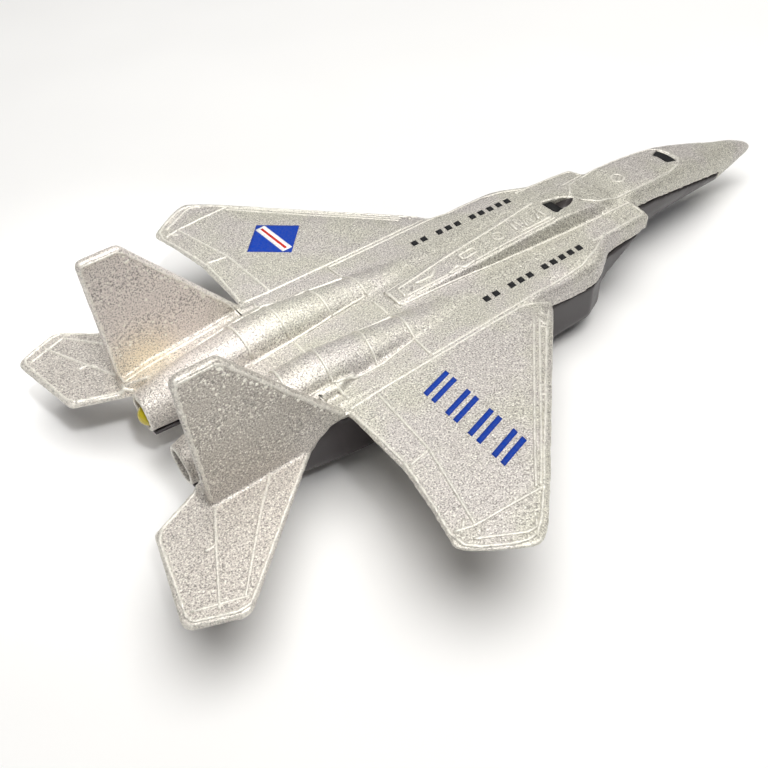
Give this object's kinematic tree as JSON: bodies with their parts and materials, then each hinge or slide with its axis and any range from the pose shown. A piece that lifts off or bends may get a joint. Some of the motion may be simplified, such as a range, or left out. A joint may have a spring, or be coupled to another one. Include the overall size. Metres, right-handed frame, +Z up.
{
  "type": "toy airplane",
  "caption": "Small die-cast twin-tail jet toy: silver metal upper body, charcoal plastic belly with raked intakes, free-rolling wheels, canopy missing.",
  "frame": {"origin": "midway along the length and the span, on the surface that the three wheels stand on", "axes": "+X towards the nose, +Y towards the toy's left wing tip, +Z up"},
  "size_m": [0.1199, 0.079, 0.0289],
  "materials": {
    "silver_casting": "warm silver paint over rough die-cast zinc",
    "charcoal_plastic": "satin moulded plastic, charcoal with a purple-brown cast",
    "yellow_plastic": "glossy mustard yellow",
    "steel": "plain drawn steel",
    "black_plastic": "matte black moulded plastic"
  },
  "bodies": {
    "airframe": {"upper_body": "silver_casting", "lower_base": "charcoal_plastic", "exhaust_insert_left": "yellow_plastic", "main_axle": "steel", "nose_axle": "steel", "front_screw": "steel", "rear_screw": "steel"},
    "left_wheel": {"main_wheel_left": "black_plastic"},
    "right_wheel": {"main_wheel_right": "black_plastic"},
    "front_wheel": {"nose_wheel": "black_plastic"}
  },
  "joints": [
    {"name": "left_wheel_roll", "type": "hinge", "parent": "airframe", "child": "left_wheel", "pos_m": [-0.0205, 0.0078, 0.0028], "axis": [0, 1, 0], "continuous": true},
    {"name": "right_wheel_roll", "type": "hinge", "parent": "airframe", "child": "right_wheel", "pos_m": [-0.0205, -0.0078, 0.0028], "axis": [0, 1, 0], "continuous": true},
    {"name": "front_wheel_roll", "type": "hinge", "parent": "airframe", "child": "front_wheel", "pos_m": [0.0245, 0, 0.0028], "axis": [0, 1, 0], "continuous": true}
  ]
}
